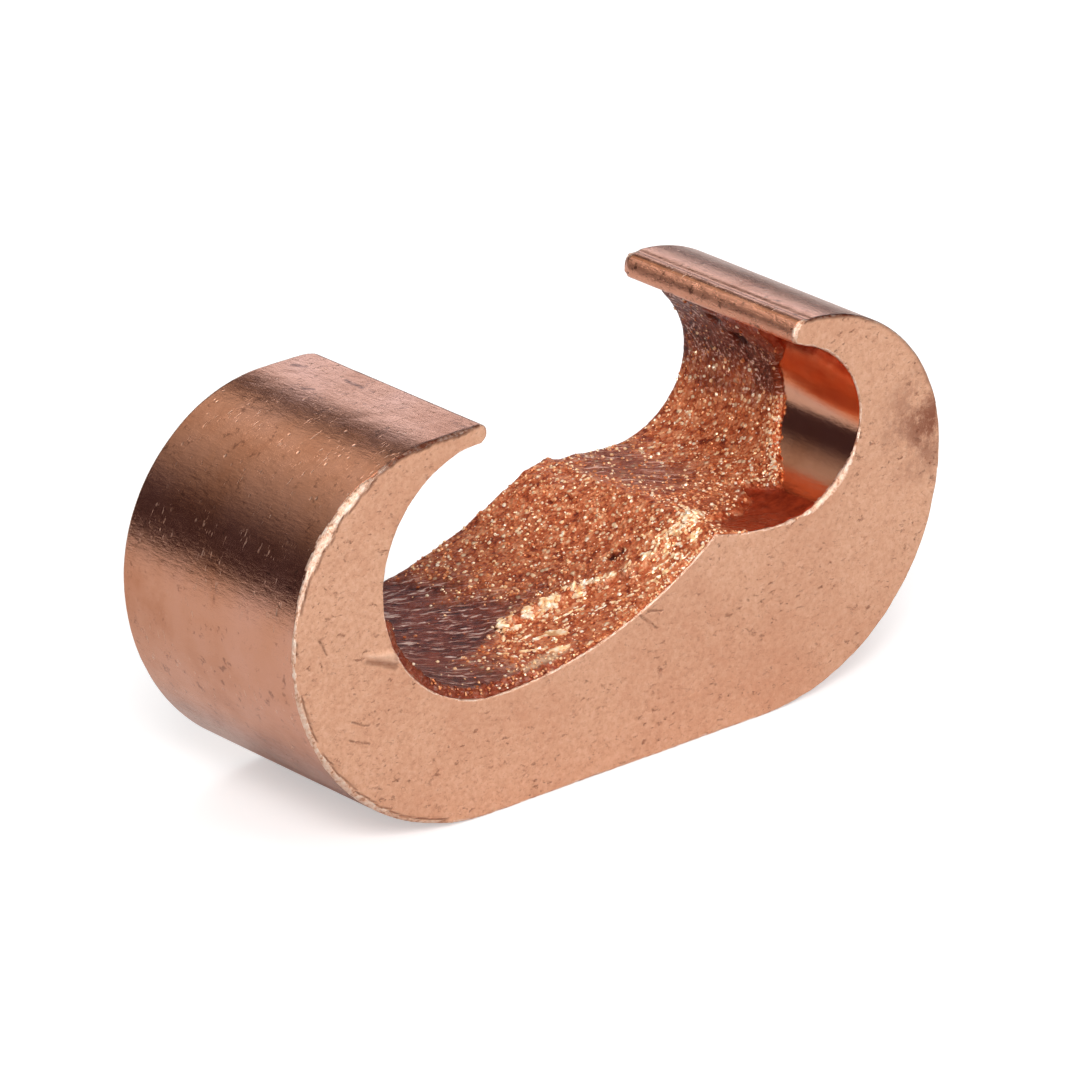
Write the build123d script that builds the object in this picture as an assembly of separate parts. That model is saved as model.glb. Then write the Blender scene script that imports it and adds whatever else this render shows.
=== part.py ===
from build123d import *
import math
import os

# A compression C-tap: a short length cut from a drawn copper C section, with a big run groove,
# a small tap groove, a ridge between them and an arm hooked over each. The inside carries a
# smeared layer of copper-grit joint compound.
# X runs across the C, Y along the conductors and Z up. The origin is on the underside, at the
# middle of the width and of the cut length. Millimetres.

# The cut length, and the outside of the section below its widest places
cut_length = 17.5
overall_width = 50.0
run_heel_radius = 13.7
tap_heel_radius = 14.85

# The run groove, on the -X side, and the copper beside, under and over it
run_groove_radius = 8.2
run_side_wall = 6.9
run_web = 7.55
run_tip_wall = 1.15

# The tap groove, on the +X side and a little wider than it is high, and the copper round it
tap_groove_half_width = 6.4
tap_groove_half_height = 5.7
tap_side_wall = 6.2
tap_web = 12.15
tap_lip_wall = 1.25

# The ridge between the grooves, measured from the middle of the width
ridge_offset = 7.15
ridge_height = 12.95
ridge_radius = 0.5

# The tip of the arm over the run groove, just past the groove's centre. Roundness is a radius
# as a share of the wall that it rounds.
run_tip_overhang = 0.2
run_tip_roundness = 0.48

# The lip over the tap groove, and how far its blunt nose stands past the top of the shoulder
lip_underside_angle = 60.0
nose_reach = 1.2
nose_droop = 0.05
nose_top_roundness = 0.74
nose_bottom_roundness = 0.2

# The rims of the two cut ends, broken by tumbling
rim_break = 0.2

# The joint compound: a film over the whole inside, and on it a coat with a torn front edge
film_thickness = 0.22
coat_thickness = 0.5
end_setback = 0.25
run_wall_reach = 0.6
lip_clearance = 0.8
film_rise = 2.6

# The torn edge, seen from above: how far each point lies past the ridge, and how far behind the
# front end as a share of the cut length
torn_edge = (
    (-19.1, 0.02),
    (-13.7, 0.16),
    (-12.3, 0.33),
    (-7.7, 0.31),
    (-4.7, 0.19),
    (-1.7, 0.14),
    (1.0, 0.22),
    (4.2, 0.18),
    (6.1, 0.26),
    (7.9, 0.21),
    (9.2, 0.31),
    (10.8, 0.42),
)

# Places worked out from the sizes above
half_width = overall_width / 2
half_length = cut_length / 2
run_groove_x = run_side_wall + run_groove_radius - half_width
run_groove_z = run_web + run_groove_radius
run_top = run_groove_z + run_groove_radius + run_tip_wall
run_heel_x = run_heel_radius - half_width
run_shoulder_x = run_top - run_heel_radius - half_width
run_tip_x = run_groove_x + run_tip_overhang
tap_groove_x = half_width - tap_side_wall - tap_groove_half_width
tap_groove_z = tap_web + tap_groove_half_height
tap_groove_top = tap_groove_z + tap_groove_half_height
tap_top = tap_groove_top + tap_lip_wall
tap_heel_x = half_width - tap_heel_radius
tap_shoulder_x = half_width - (tap_top - tap_heel_radius)
ridge = (ridge_offset, ridge_height)
nose_x = tap_shoulder_x - nose_reach
nose_upper = (nose_x, tap_top)
nose_lower = (nose_x, tap_groove_top - nose_droop)
nose_wall = tap_lip_wall + nose_droop
above_all = 2 * overall_width


def run_tip_underside(inset=0.0):
    """Where the run groove's arc ends, under the tip of its arm."""
    rise = math.sqrt((run_groove_radius - inset) ** 2 - run_tip_overhang**2)
    return (run_tip_x, run_groove_z + rise)


def outer_face():
    """The section's outside, with the mouth still closed by a straight top."""
    run_side = (-half_width, run_heel_radius)
    tap_side = (half_width, tap_heel_radius)
    shoulder_end = (run_shoulder_x, run_top)
    lip_start = (tap_shoulder_x, tap_top)
    with BuildSketch() as sketch:
        with BuildLine():
            Line((tap_heel_x, 0), (run_heel_x, 0))
            TangentArc((run_heel_x, 0), run_side, tangent=(-1, 0))
            TangentArc(run_side, shoulder_end, tangent=(0, 1))
            Line(shoulder_end, (run_tip_x, run_top))
            Line((run_tip_x, run_top), nose_upper)
            Line(nose_upper, lip_start)
            TangentArc(lip_start, tap_side, tangent=(1, 0))
            TangentArc(tap_side, (tap_heel_x, 0), tangent=(0, -1))
        make_face()
    return sketch.sketch


def rounded_at(face, corner, radius):
    """A flat face with the one of its corners that lies nearest a point rounded."""
    vertices = face.vertices()
    nearest = min(vertices, key=lambda v: math.hypot(v.X - corner[0], v.Y - corner[1]))
    return fillet(nearest, radius)


def inside_face(inset=0.0):
    """The space inside and above the C: both grooves, the ridge between them and the mouth.

    With an inset it is the space that a layer of that thickness on the copper leaves free.
    """
    tip = run_tip_underside(inset)
    run_side = (run_groove_x - run_groove_radius + inset, run_groove_z)
    run_bottom = (run_groove_x, run_web + inset)
    tap_bottom = (tap_groove_x, tap_web + inset)
    ridge_top = (ridge[0], ridge[1] + inset)
    with BuildSketch() as sketch:
        with BuildLine():
            ThreePointArc(tip, run_side, run_bottom)
            TangentArc(run_bottom, ridge_top, tangent=(1, 0))
            TangentArc(tap_bottom, ridge_top, tangent=(-1, 0))
            tap_wall = EllipticalCenterArc(
                (tap_groove_x, tap_groove_z),
                tap_groove_half_width - inset,
                tap_groove_half_height - inset,
                start_angle=-90,
                arc_size=90 + lip_underside_angle,
            )
            Line(tap_wall @ 1, nose_lower)
            Line(nose_lower, (nose_x, above_all))
            Line((nose_x, above_all), (run_tip_x, above_all))
            Line((run_tip_x, above_all), tip)
        make_face()
    return rounded_at(sketch.sketch, ridge_top, ridge_radius + inset)


def section_face():
    """The drawn C section, with its tips, nose and ridge rounded."""
    section = outer_face() - inside_face()
    section = rounded_at(section, (run_tip_x, run_top), run_tip_roundness * run_tip_wall)
    section = rounded_at(section, run_tip_underside(), run_tip_roundness * run_tip_wall)
    section = rounded_at(section, nose_upper, nose_top_roundness * nose_wall)
    return rounded_at(section, nose_lower, nose_bottom_roundness * nose_wall)


def along_y(face, start, end):
    """A face of the section, stretched along the conductors from one Y to another."""
    plane = Plane(origin=(0, end, 0), x_dir=(1, 0, 0), z_dir=(0, -1, 0))
    return extrude(plane * face, amount=end - start)


def c_body():
    """The C section, cut to length, with its cut edges broken."""
    bar = along_y(section_face(), -half_length, half_length)
    by_place = bar.edges().group_by(Axis.Y)
    return bar.chamfer(rim_break, None, by_place[0] + by_place[-1])


def layer_face(thickness, run_height, tap_height):
    """A layer on the inside of the C, up to a height over each of the two grooves."""
    with BuildSketch() as reach:
        with BuildLine():
            Polyline(
                (-half_width, 0),
                (-half_width, run_height),
                (ridge_offset, run_height),
                (ridge_offset, tap_height),
                (half_width, tap_height),
                (half_width, 0),
                close=True,
            )
        make_face()
    return (inside_face() - inside_face(thickness)) & reach.sketch


def behind_torn_edge():
    """The block of space behind the coat's torn front edge."""
    edge = [(ridge_offset + x, share * cut_length - half_length) for x, share in torn_edge]
    with BuildSketch() as sketch:
        with BuildLine():
            Polyline(
                (-half_width, edge[0][1]),
                *edge,
                (half_width, edge[-1][1]),
                (half_width, half_length),
                (-half_width, half_length),
                close=True,
            )
        make_face()
    return extrude(sketch.sketch, amount=above_all)


def joint_compound():
    """The smeared compound: its film and, behind the torn edge, its coat."""
    run_height = run_groove_z + run_wall_reach
    front = end_setback - half_length
    back = half_length - end_setback
    film_face = layer_face(film_thickness, run_height, tap_web + film_rise)
    coat_face = layer_face(coat_thickness, run_height, nose_lower[1] - lip_clearance)
    film = along_y(film_face, front, back)
    coat = along_y(coat_face, front, back) & behind_torn_edge()
    return film + coat


os.makedirs("parts", exist_ok=True)
export_step(c_body(), "parts/c_body.step")
export_step(joint_compound(), "parts/joint_compound.step")
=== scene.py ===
import math
import random

import bmesh
import bpy
from mathutils import Matrix, Vector, noise


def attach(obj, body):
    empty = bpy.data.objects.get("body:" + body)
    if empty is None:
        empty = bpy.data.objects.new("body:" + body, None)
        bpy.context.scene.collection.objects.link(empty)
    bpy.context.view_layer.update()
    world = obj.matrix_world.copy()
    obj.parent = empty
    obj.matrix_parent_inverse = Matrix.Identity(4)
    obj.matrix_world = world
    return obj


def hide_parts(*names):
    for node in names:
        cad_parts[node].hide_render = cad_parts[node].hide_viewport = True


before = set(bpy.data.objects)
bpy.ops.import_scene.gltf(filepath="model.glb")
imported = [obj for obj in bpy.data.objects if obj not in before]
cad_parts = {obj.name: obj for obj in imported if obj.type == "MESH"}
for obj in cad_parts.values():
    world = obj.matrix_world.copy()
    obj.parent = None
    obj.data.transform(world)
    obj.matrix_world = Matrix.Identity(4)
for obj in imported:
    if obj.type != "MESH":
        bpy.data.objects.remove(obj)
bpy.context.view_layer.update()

# A compression C-tap lies on a pale floor: a short length of drawn copper C section, and in it a
# smeared layer of copper-grit joint compound. X runs across the C, Y along the conductors from
# the photographed end to the far one, Z up. Lengths here are millimetres until a mesh is placed.
MM = 0.001

# The section, as drawn
HALF_LENGTH = 8.75
RUN_GROOVE = ((-9.9, 15.75), (8.2, 8.2))
RUN_SHOULDER = ((-13.6, 13.7), (11.4, 11.4))
RUN_HEEL = ((-11.3, 13.7), (13.7, 13.7))
TAP_GROOVE = ((12.4, 17.85), (6.4, 5.7))
TAP_SHOULDER = ((15.05, 14.85), (9.95, 9.95))
TAP_HEEL = ((10.15, 14.85), (14.85, 14.85))
SLOPE = ((-9.9, 37.167), (29.617, 29.617))
SADDLE = ((12.4, 29.777), (17.627, 17.627))
SLOPE_END = -54.85
SADDLE_START = -107.33
RUN_TIP_TOP = (-9.7, 25.1)
NOSE_UPPER = (13.85, 24.8)
NOSE_LOWER = (13.85, 23.5)


def colour(hex_code):
    """An sRGB hex colour as the linear one that Blender renders."""
    parts = [int(hex_code[i : i + 2], 16) / 255 for i in (1, 3, 5)]
    linear = [p / 12.92 if p <= 0.04045 else ((p + 0.055) / 1.055) ** 2.4 for p in parts]
    return (*linear, 1.0)


def smooth(low, high, value):
    """0 up to low, 1 from high, and an S between them."""
    t = min(1.0, max(0.0, (value - low) / (high - low)))
    return t * t * (3 - 2 * t)


def on_line(points, value):
    """The height of a broken line of points at a place along it."""
    if value <= points[0][0]:
        return points[0][1]
    for (x0, y0), (x1, y1) in zip(points, points[1:]):
        if value <= x1:
            return y0 + (y1 - y0) * (value - x0) / (x1 - x0)
    return points[-1][1]


# The camera, worked out from the photograph
CAMERA_PLACE = Vector((-348.306, -468.196, 250.652)) * MM
CAMERA_RIGHT = Vector((0.78836568, -0.61291611, -0.0530415))
CAMERA_UP = Vector((0.27090776, 0.26845783, 0.92441299))

lens = bpy.data.cameras.new("camera")
lens.sensor_width = 36.0
lens.lens = 347.39
camera = bpy.data.objects.new("camera", lens)
facing = Matrix((CAMERA_RIGHT, CAMERA_UP, CAMERA_RIGHT.cross(CAMERA_UP))).transposed()
camera.matrix_world = Matrix.Translation(CAMERA_PLACE) @ facing.to_4x4()
bpy.context.collection.objects.link(camera)
bpy.context.scene.camera = camera


# Small helpers that build the node materials
def new_material(name):
    """A material with no nodes yet."""
    material = bpy.data.materials.new(name)
    material.use_nodes = True
    material.node_tree.nodes.clear()
    return material


def add(material, kind, settings=None, stops=(), **links):
    """Adds a node with its settings, the stops of its colour ramp and its links.

    A stop is a place and a colour, or a number for a grey. A link is a value for a socket, or
    another node's output joined to it. A link named i and a number means the socket of that
    number, and any other the socket of its name.
    """
    node = material.node_tree.nodes.new(kind)
    for key, value in (settings or {}).items():
        setattr(node, key, value)
    while stops and len(node.color_ramp.elements) < len(stops):
        node.color_ramp.elements.new(0.5)
    for i, (place, shade) in enumerate(stops):
        node.color_ramp.elements[i].position = place
        grey = (shade, shade, shade, 1.0)
        node.color_ramp.elements[i].color = shade if isinstance(shade, tuple) else grey
    for key, value in links.items():
        name = key.replace("_", " ")
        numbered = name[0] == "i" and name[1:].isdigit()
        socket = node.inputs[int(name[1:]) if numbered else name]
        if isinstance(value, bpy.types.NodeSocket):
            material.node_tree.links.new(value, socket)
        else:
            socket.default_value = value
    return node


def near_stroke(material, place, start, end, width):
    """1 on a straight stroke, and 0 a width away from it. Places are in millimetres."""
    first = Vector(start) * MM
    along = Vector(end) * MM - first
    here = add(material, "ShaderNodeVectorMath", {"operation": "SUBTRACT"}, i0=place, i1=first)
    here = here.outputs[0]
    dot = add(material, "ShaderNodeVectorMath", {"operation": "DOT_PRODUCT"}, i0=here, i1=along)
    share = add(
        material, "ShaderNodeMapRange", Value=dot.outputs["Value"], i1=0.0, i2=along.length_squared
    ).outputs["Result"]
    foot = add(material, "ShaderNodeVectorMath", {"operation": "SCALE"}, i0=along, Scale=share)
    gap = add(
        material, "ShaderNodeVectorMath", {"operation": "DISTANCE"}, i0=here, i1=foot.outputs[0]
    )
    return add(
        material,
        "ShaderNodeMapRange",
        Value=gap.outputs["Value"],
        i1=0.0,
        i2=width * MM,
        i3=1.0,
        i4=0.0,
    ).outputs["Result"]


def wavering(material, place, scale, reach):
    """A place pushed to and fro by up to half a reach in millimetres."""
    push = add(material, "ShaderNodeTexNoise", Vector=place, Scale=scale, Detail=3.0)
    middle = add(
        material,
        "ShaderNodeVectorMath",
        {"operation": "SUBTRACT"},
        i0=push.outputs["Color"],
        i1=(0.5, 0.5, 0.5),
    ).outputs[0]
    push = add(
        material, "ShaderNodeVectorMath", {"operation": "SCALE"}, i0=middle, Scale=reach * MM
    ).outputs[0]
    return add(material, "ShaderNodeVectorMath", {"operation": "ADD"}, i0=place, i1=push).outputs[0]


# Dull smudges on the flat top of the run arm, each from one place to another
SMUDGES = (
    ((-12.2, 7.4, 25.1), (-11.85, 6.6, 25.1)),
    ((-11.45, 3.1, 25.1), (-11.55, 1.2, 25.1)),
    ((-14.05, 3.75, 25.1), (-13.8, 3.25, 25.1)),
)


def drawn_copper(name, grain_depth, wear, low, high, red_reflection_above=None, painted_paling=0.0):
    """Drawn, tumbled copper: bright, with a fine grain along the drawing and small bruises.

    Wear is how strongly scratches and nicks show. Low and high are the least and most roughness.
    Above a height in millimetres, under the arms, the skin is painted redder as a painted
    reflection of the compound.
    The last argument is how far the colour is painted paler, as painted light.
    """
    m = new_material(name)
    place = add(m, "ShaderNodeTexCoord").outputs["Object"]
    rim_shade = add(m, "ShaderNodeAttribute", {"attribute_name": "rim_shade"}).outputs["Fac"]
    # Drawing lines 0.2 mm wide and a millimetre long, along Y
    grain = add(
        m,
        "ShaderNodeTexNoise",
        Vector=add(
            m, "ShaderNodeMapping", {"vector_type": "TEXTURE"}, i0=place, i3=(1, 5, 1)
        ).outputs[0],
        Scale=4.6 / MM,
        Detail=5.0,
        Roughness=0.7,
    ).outputs[0]
    # Tumbling scratches 0.1 mm wide and up to a millimetre long, round the section in places
    lines = add(
        m,
        "ShaderNodeTexNoise",
        Vector=add(
            m, "ShaderNodeMapping", {"vector_type": "TEXTURE"}, i0=place, i3=(5, 1, 5)
        ).outputs[0],
        Scale=7.6 / MM,
        Detail=3.0,
        Roughness=0.5,
    ).outputs[0]
    worn = add(
        m, "ShaderNodeTexNoise", Vector=place, Scale=0.42 / MM, Detail=3.0, Roughness=0.6
    ).outputs[0]
    scratched = add(
        m,
        "ShaderNodeMath",
        {"operation": "MULTIPLY"},
        i0=add(m, "ShaderNodeValToRGB", stops=[(0.64, 0.0), (0.72, 1.0)], Fac=lines).outputs[0],
        i1=add(m, "ShaderNodeValToRGB", stops=[(0.48, 0.0), (0.62, 1.0)], Fac=worn).outputs[0],
    ).outputs[0]
    # Nicks 0.15 mm across, about two to the square millimetre
    nick = add(
        m,
        "ShaderNodeTexVoronoi",
        Vector=add(
            m, "ShaderNodeMapping", {"vector_type": "TEXTURE"}, i0=place, i3=(1.4, 1, 1.4)
        ).outputs[0],
        Scale=1.5 / MM,
    )
    chance = add(m, "ShaderNodeSeparateColor", Color=nick.outputs["Color"]).outputs[0]
    nicked = add(
        m,
        "ShaderNodeMath",
        {"operation": "MULTIPLY"},
        i0=add(
            m, "ShaderNodeValToRGB", stops=[(0.05, 1.0), (0.18, 0.0)], Fac=nick.outputs["Distance"]
        ).outputs[0],
        i1=add(m, "ShaderNodeValToRGB", stops=[(0.4, 0.0), (0.9, 1.0)], Fac=chance).outputs[0],
    ).outputs[0]
    # Bruises half a millimetre wide and a millimetre long
    bruises = add(
        m,
        "ShaderNodeTexNoise",
        Vector=add(
            m, "ShaderNodeMapping", {"vector_type": "TEXTURE"}, i0=place, i3=(1, 2, 1)
        ).outputs[0],
        Scale=1.9 / MM,
        Detail=4.0,
        Roughness=0.65,
    ).outputs[0]
    # Clouds of tarnish 5 mm across, from dull to rosy
    clouds = add(
        m, "ShaderNodeTexNoise", Vector=place, Scale=0.19 / MM, Detail=5.0, Roughness=0.6
    ).outputs[0]
    tint = add(
        m,
        "ShaderNodeValToRGB",
        stops=[(0.3, colour("#C88664")), (0.48, colour("#D89A7B")), (0.7, colour("#DEA389"))],
        Fac=clouds,
    ).outputs[0]
    # Scratches and nicks show fresh, paler copper; the pale tint is also a painted glint on them
    marks_and_glints = add(
        m,
        "ShaderNodeMath",
        {"operation": "MULTIPLY"},
        i0=add(m, "ShaderNodeMath", {"operation": "MAXIMUM"}, i0=scratched, i1=nicked).outputs[0],
        i1=wear,
    ).outputs[0]
    tint = add(
        m,
        "ShaderNodeMix",
        {"data_type": "RGBA"},
        i0=add(m, "ShaderNodeMath", {"operation": "MULTIPLY"}, i0=marks_and_glints, i1=0.7).outputs[0],
        i6=tint,
        i7=colour("#F2CDB4"),
    ).outputs[2]
    # Tarnish specks, and painted shade from the rim shade attribute: a dark line along a rim
    specks = add(
        m,
        "ShaderNodeValToRGB",
        stops=[(0.35, 1.0), (0.42, 0.0)],
        Fac=add(
            m, "ShaderNodeTexNoise", Vector=place, Scale=1.1 / MM, Detail=6.0, Roughness=0.75
        ).outputs[0],
    ).outputs[0]
    sides = add(m, "ShaderNodeSeparateXYZ", Vector=place).outputs
    if red_reflection_above is None:
        # A darker band low on both heels: a painted reflection of the floor's shadow under the part
        floor_shadow_reflection = add(
            m,
            "ShaderNodeMath",
            {"operation": "ABSOLUTE"},
            i0=add(
                m, "ShaderNodeMath", {"operation": "SUBTRACT"}, i0=sides["Z"], i1=5.6 * MM
            ).outputs[0],
        ).outputs[0]
        floor_shadow_reflection = add(
            m,
            "ShaderNodeMath",
            {"operation": "DIVIDE"},
            i0=add(
                m,
                "ShaderNodeMath",
                {"operation": "MULTIPLY_ADD"},
                i0=clouds,
                i1=1.2 * MM,
                i2=floor_shadow_reflection,
            ).outputs[0],
            i1=3.0 * MM,
        ).outputs[0]
        tint = add(
            m,
            "ShaderNodeMix",
            {"data_type": "RGBA"},
            i0=add(
                m, "ShaderNodeValToRGB", stops=[(0.3, 0.34), (0.9, 0.0)], Fac=floor_shadow_reflection
            ).outputs[0],
            i6=tint,
            i7=colour("#7A4630"),
        ).outputs[2]
    else:
        # Under the arms the skin is painted redder, a painted reflection of the compound below
        height = add(
            m,
            "ShaderNodeMath",
            {"operation": "MULTIPLY_ADD"},
            i0=sides["Y"],
            i1=-0.1,
            i2=sides["Z"],
        ).outputs[0]
        height = add(
            m,
            "ShaderNodeMath",
            {"operation": "DIVIDE"},
            i0=add(
                m, "ShaderNodeMath", {"operation": "SUBTRACT"}, i0=height, i1=red_reflection_above * MM
            ).outputs[0],
            i1=0.6 * MM,
        ).outputs[0]
        tint = add(
            m,
            "ShaderNodeMix",
            {"data_type": "RGBA"},
            i0=add(m, "ShaderNodeValToRGB", stops=[(0.0, 0.0), (1.0, 0.85)], Fac=height).outputs[0],
            i6=tint,
            i7=colour("#EE8452"),
        ).outputs[2]
    # Painted light: the colour is painted paler by the last argument's share
    tint = add(
        m, "ShaderNodeMix", {"data_type": "RGBA"}, i0=painted_paling, i6=tint, i7=colour("#F8B192")
    ).outputs[2]
    smudged = 0.0
    wavy = wavering(m, place, 1.5 / MM, 0.5)
    for start, end in SMUDGES:
        smudged = add(
            m,
            "ShaderNodeMath",
            {"operation": "MAXIMUM"},
            i0=smudged,
            i1=near_stroke(m, wavy, start, end, 0.22),
        ).outputs[0]
    marks_and_rim_shade = add(
        m,
        "ShaderNodeMath",
        {"operation": "MAXIMUM"},
        i0=add(m, "ShaderNodeMath", {"operation": "MULTIPLY"}, i0=specks, i1=0.6 * wear).outputs[0],
        i1=rim_shade,
    ).outputs[0]
    marks_and_rim_shade = add(m, "ShaderNodeMath", {"operation": "MAXIMUM"}, i0=marks_and_rim_shade, i1=smudged).outputs[0]
    tint = add(
        m,
        "ShaderNodeMix",
        {"data_type": "RGBA"},
        i0=add(m, "ShaderNodeMath", {"operation": "MULTIPLY"}, i0=marks_and_rim_shade, i1=0.8).outputs[0],
        i6=tint,
        i7=colour("#5A2A1E"),
    ).outputs[2]
    rough = add(m, "ShaderNodeMapRange", Value=grain, i1=0.3, i2=0.7, i3=low, i4=high)
    rough = add(
        m,
        "ShaderNodeMath",
        {"operation": "ADD"},
        i0=rough.outputs["Result"],
        i1=add(m, "ShaderNodeMath", {"operation": "MULTIPLY"}, i0=marks_and_glints, i1=0.25).outputs[0],
    ).outputs[0]
    normal = add(
        m, "ShaderNodeBump", Height=grain, Strength=grain_depth, Distance=0.06 * MM
    ).outputs[0]
    normal = add(
        m,
        "ShaderNodeBump",
        Height=bruises,
        Strength=0.8 * grain_depth,
        Distance=0.1 * MM,
        Normal=normal,
    ).outputs[0]
    normal = add(
        m, "ShaderNodeBump", Height=marks_and_glints, Strength=0.5, Distance=-0.03 * MM, Normal=normal
    ).outputs[0]
    shader = add(
        m, "ShaderNodeBsdfPrincipled", Base_Color=tint, Metallic=1.0, Roughness=rough, Normal=normal
    )
    add(m, "ShaderNodeOutputMaterial", Surface=shader.outputs["BSDF"])
    return m


# Scratches on the photographed end, each from one place to another
END_SCRATCHES = (
    ((-21.2, 0.0, 7.9), (-19.8, 0.0, 7.25)),
    ((-21.0, 0.0, 9.0), (-19.8, 0.0, 8.45)),
    ((-23.0, 0.0, 15.0), (-22.5, 0.0, 13.9)),
    ((0.3, 0.0, 10.15), (1.1, 0.0, 9.35)),
    ((0.9, 0.0, 9.5), (2.2, 0.0, 8.2)),
    ((1.6, 0.0, 9.5), (2.7, 0.0, 9.2)),
)


def sheared_copper():
    """A cut end of the copper: sheared and tumbled, so matt, pale and finely pitted."""
    m = new_material("sheared_copper_end")
    place = add(m, "ShaderNodeTexCoord").outputs["Object"]
    rim_shade = add(m, "ShaderNodeAttribute", {"attribute_name": "rim_shade"}).outputs["Fac"]
    burr_highlight = add(m, "ShaderNodeAttribute", {"attribute_name": "burr_highlight"}).outputs["Fac"]
    # Sheared grain 0.2 mm across on lumps of 0.3 mm, and torn places 0.3 by 0.9 mm
    fine = add(
        m,
        "ShaderNodeTexNoise",
        Vector=add(
            m, "ShaderNodeMapping", {"vector_type": "TEXTURE"}, i0=place, i3=(1.5, 1, 1)
        ).outputs[0],
        Scale=5.6 / MM,
        Detail=4.0,
        Roughness=0.75,
    ).outputs[0]
    grain = add(
        m, "ShaderNodeTexNoise", Vector=place, Scale=3.3 / MM, Detail=6.0, Roughness=0.72
    ).outputs[0]
    torn = add(
        m,
        "ShaderNodeTexNoise",
        Vector=add(
            m,
            "ShaderNodeMapping",
            {"vector_type": "TEXTURE"},
            i0=place,
            i2=(0.0, 0.0, math.radians(25)),
            i3=(2.6, 1, 1),
        ).outputs[0],
        Scale=2.9 / MM,
        Detail=4.0,
        Roughness=0.7,
    ).outputs[0]
    # Broad patches 8 mm across with a duller cast
    patches = add(
        m, "ShaderNodeTexNoise", Vector=place, Scale=0.12 / MM, Detail=5.0, Roughness=0.65
    ).outputs[0]
    # The deepest of the torn places are pits, more of them in some patches of 3 mm
    pits = add(
        m,
        "ShaderNodeMath",
        {"operation": "MULTIPLY"},
        i0=add(m, "ShaderNodeValToRGB", stops=[(0.34, 1.0), (0.4, 0.0)], Fac=torn).outputs[0],
        i1=add(
            m,
            "ShaderNodeValToRGB",
            stops=[(0.42, 0.15), (0.6, 1.0)],
            Fac=add(
                m, "ShaderNodeTexNoise", Vector=place, Scale=0.33 / MM, Detail=3.0, Roughness=0.6
            ).outputs[0],
        ).outputs[0],
    ).outputs[0]
    # The place on the flat end, wavering a little so that no scratch is ruled
    flat = add(m, "ShaderNodeVectorMath", {"operation": "MULTIPLY"}, i0=place, i1=(1.0, 0.0, 1.0))
    flat = wavering(m, flat.outputs[0], 1.6 / MM, 0.4)
    flat = add(m, "ShaderNodeVectorMath", {"operation": "MULTIPLY"}, i0=flat, i1=(1.0, 0.0, 1.0))
    flat = flat.outputs[0]
    scratched = 0.0
    for start, end in END_SCRATCHES:
        scratched = add(
            m,
            "ShaderNodeMath",
            {"operation": "MAXIMUM"},
            i0=scratched,
            i1=near_stroke(m, flat, start, end, 0.13),
        ).outputs[0]
    depth = add(m, "ShaderNodeSeparateXYZ", Vector=place).outputs["Y"]
    front = add(m, "ShaderNodeMath", {"operation": "LESS_THAN"}, i0=depth, i1=0.0).outputs[0]
    scratched = add(
        m, "ShaderNodeMath", {"operation": "MULTIPLY"}, i0=scratched, i1=front
    ).outputs[0]
    scratched = add(
        m,
        "ShaderNodeMath",
        {"operation": "MULTIPLY"},
        i0=scratched,
        i1=add(m, "ShaderNodeValToRGB", stops=[(0.38, 0.2), (0.5, 1.0)], Fac=fine).outputs[0],
    ).outputs[0]
    tint = add(
        m,
        "ShaderNodeValToRGB",
        stops=[(0.3, colour("#D09E81")), (0.46, colour("#DDAB8C")), (0.68, colour("#E7BA9D"))],
        Fac=grain,
    ).outputs[0]
    tint = add(
        m,
        "ShaderNodeMix",
        {"data_type": "RGBA"},
        i0=add(m, "ShaderNodeValToRGB", stops=[(0.32, 0.5), (0.44, 0.0)], Fac=fine).outputs[0],
        i6=tint,
        i7=colour("#A86F52"),
    ).outputs[2]
    tint = add(
        m,
        "ShaderNodeMix",
        {"data_type": "RGBA"},
        i0=add(m, "ShaderNodeValToRGB", stops=[(0.45, 0.0), (0.75, 0.5)], Fac=patches).outputs[0],
        i6=tint,
        i7=colour("#CB8F70"),
    ).outputs[2]
    # Tarnish on the outside of the tap arm
    outside = Vector((24.2, 0.0, 15.6)) * MM
    tarnish_and_rim_shade = add(m, "ShaderNodeVectorMath", {"operation": "DISTANCE"}, i0=flat, i1=outside)
    tarnish_and_rim_shade = add(
        m, "ShaderNodeMath", {"operation": "DIVIDE"}, i0=tarnish_and_rim_shade.outputs["Value"], i1=4.6 * MM
    ).outputs[0]
    tarnish_and_rim_shade = add(
        m,
        "ShaderNodeMath",
        {"operation": "MULTIPLY"},
        i0=add(m, "ShaderNodeValToRGB", stops=[(0.1, 1.0), (1.0, 0.0)], Fac=tarnish_and_rim_shade).outputs[0],
        i1=add(
            m,
            "ShaderNodeValToRGB",
            stops=[(0.4, 0.0), (0.58, 0.9)],
            Fac=add(
                m, "ShaderNodeTexNoise", Vector=place, Scale=0.62 / MM, Detail=6.0, Roughness=0.78
            ).outputs[0],
        ).outputs[0],
    ).outputs[0]
    tint = add(
        m,
        "ShaderNodeMix",
        {"data_type": "RGBA"},
        i0=add(m, "ShaderNodeMath", {"operation": "MULTIPLY"}, i0=tarnish_and_rim_shade, i1=front).outputs[0],
        i6=tint,
        i7=colour("#8A523E"),
    ).outputs[2]
    tint = add(
        m,
        "ShaderNodeMix",
        {"data_type": "RGBA"},
        i0=add(m, "ShaderNodeMath", {"operation": "MULTIPLY"}, i0=pits, i1=0.62).outputs[0],
        i6=tint,
        i7=colour("#84482F"),
    ).outputs[2]
    # Painted highlight: the burr is painted pale
    tint = add(
        m,
        "ShaderNodeMix",
        {"data_type": "RGBA"},
        i0=add(m, "ShaderNodeMath", {"operation": "MULTIPLY"}, i0=burr_highlight, i1=0.6).outputs[0],
        i6=tint,
        i7=colour("#F2CDB2"),
    ).outputs[2]
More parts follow.
